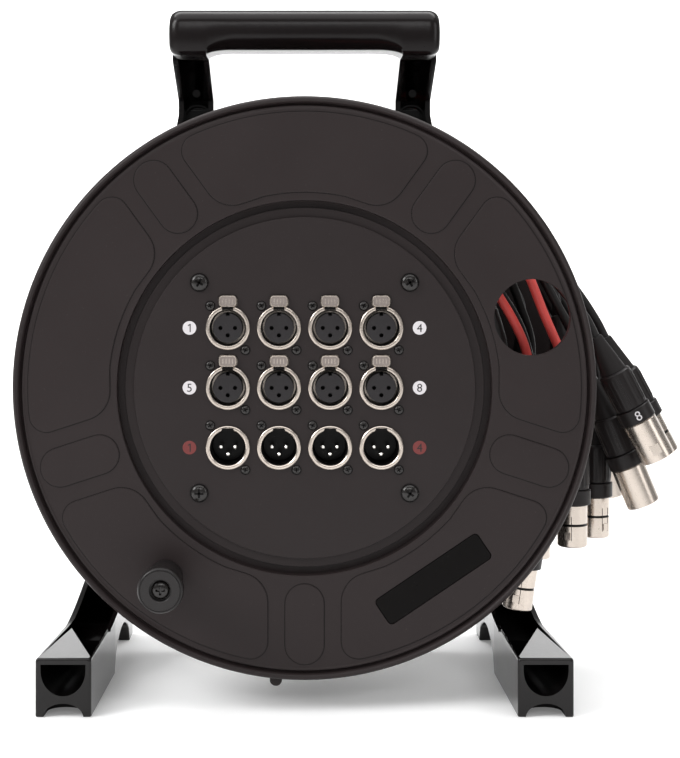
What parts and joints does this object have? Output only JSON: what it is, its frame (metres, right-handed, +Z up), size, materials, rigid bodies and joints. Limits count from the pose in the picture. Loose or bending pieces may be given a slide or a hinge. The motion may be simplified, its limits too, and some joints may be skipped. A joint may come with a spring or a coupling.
{
  "type": "stage box cable reel",
  "caption": "Open-sided cable drum on a carrying frame, with a panel of audio sockets in the drum's front, a wound multicore cable and a fan-out of plugs hanging at the side.",
  "frame": {"origin": "on the floor, under the middle of the frame and drum without the free tails and plugs", "axes": "+X to the right seen from the connector panel, +Y away from the panel along the drum's axle, +Z up"},
  "size_m": [0.3749, 0.1948, 0.39],
  "materials": {
    "black_gloss": "glossy moulded",
    "cheek_moulding": "fine grained moulding",
    "panel_sheet": "textured powder coat",
    "black_screws": "black zinc plated",
    "steel": "zinc plated",
    "satin_nickel": "satin nickel",
    "dark_insert": "matt moulded",
    "cable_rubber": "matt jacket",
    "plug": "satin nickel with black body"
  },
  "bodies": {
    "frame": {"left_side_frame": "black_gloss", "right_side_frame": "black_gloss", "carry_grip": "black_gloss", "grip_screw_left": "black_screws", "grip_screw_right": "black_screws", "hub_bridge": "black_gloss", "bridge_bolt_left": "steel", "bridge_bolt_right": "steel", "axle": "steel", "axle_nut": "steel", "axle_clip": "steel", "breakout_boot": "cable_rubber", "fan_out_tails": "cable_rubber", "send_plug_1": "plug", "send_plug_2": "plug", "send_plug_3": "plug", "send_plug_4": "plug", "send_plug_5": "plug", "send_plug_6": "plug", "send_plug_7": "plug", "send_plug_8": "plug", "return_plug_1": "plug", "return_plug_2": "plug", "return_plug_3": "plug", "return_plug_4": "plug"},
    "drum": {"front_flange": "cheek_moulding", "rear_flange": "cheek_moulding", "drum_core": "cheek_moulding", "bearing_bush": "dark_insert", "connector_panel": "panel_sheet", "label_plate": "black_gloss", "crank_screw": "black_screws", "winding_core": "cable_rubber", "multicore_winding": "cable_rubber", "panel_screw_1": "black_screws", "panel_screw_2": "black_screws", "panel_screw_3": "black_screws", "panel_screw_4": "black_screws", "female_socket_1": "satin_nickel", "female_socket_2": "satin_nickel", "female_socket_3": "satin_nickel", "female_socket_4": "satin_nickel", "female_socket_5": "satin_nickel", "female_socket_6": "satin_nickel", "female_socket_7": "satin_nickel", "female_socket_8": "satin_nickel", "male_inlet_1": "satin_nickel", "male_inlet_2": "satin_nickel", "male_inlet_3": "satin_nickel", "male_inlet_4": "satin_nickel"},
    "push_tab_1": {"push_tab_1": "satin_nickel"},
    "push_tab_2": {"push_tab_2": "satin_nickel"},
    "push_tab_3": {"push_tab_3": "satin_nickel"},
    "push_tab_4": {"push_tab_4": "satin_nickel"},
    "push_tab_5": {"push_tab_5": "satin_nickel"},
    "push_tab_6": {"push_tab_6": "satin_nickel"},
    "push_tab_7": {"push_tab_7": "satin_nickel"},
    "push_tab_8": {"push_tab_8": "satin_nickel"},
    "crank_knob": {"crank_knob": "dark_insert"}
  },
  "joints": [
    {"name": "drum_spin", "type": "hinge", "parent": "frame", "child": "drum", "pos_m": [0, 0.05, 0.175], "axis": [0, 1, 0], "continuous": true, "deforming": ["breakout_boot", "fan_out_tails"]},
    {"name": "crank_knob_spin", "type": "hinge", "parent": "drum", "child": "crank_knob", "pos_m": [-0.07489, -0.08, 0.07305], "axis": [0, 1, 0], "continuous": true},
    {"name": "push_tab_1_press", "type": "slide", "parent": "drum", "child": "push_tab_1", "axis": [0, 1, 0], "range_m": [0, 0.0012], "stiffness_N_per_m": 400},
    {"name": "push_tab_2_press", "type": "slide", "parent": "drum", "child": "push_tab_2", "axis": [0, 1, 0], "range_m": [0, 0.0012], "stiffness_N_per_m": 400},
    {"name": "push_tab_3_press", "type": "slide", "parent": "drum", "child": "push_tab_3", "axis": [0, 1, 0], "range_m": [0, 0.0012], "stiffness_N_per_m": 400},
    {"name": "push_tab_4_press", "type": "slide", "parent": "drum", "child": "push_tab_4", "axis": [0, 1, 0], "range_m": [0, 0.0012], "stiffness_N_per_m": 400},
    {"name": "push_tab_5_press", "type": "slide", "parent": "drum", "child": "push_tab_5", "axis": [0, 1, 0], "range_m": [0, 0.0012], "stiffness_N_per_m": 400},
    {"name": "push_tab_6_press", "type": "slide", "parent": "drum", "child": "push_tab_6", "axis": [0, 1, 0], "range_m": [0, 0.0012], "stiffness_N_per_m": 400},
    {"name": "push_tab_7_press", "type": "slide", "parent": "drum", "child": "push_tab_7", "axis": [0, 1, 0], "range_m": [0, 0.0012], "stiffness_N_per_m": 400},
    {"name": "push_tab_8_press", "type": "slide", "parent": "drum", "child": "push_tab_8", "axis": [0, 1, 0], "range_m": [0, 0.0012], "stiffness_N_per_m": 400}
  ]
}
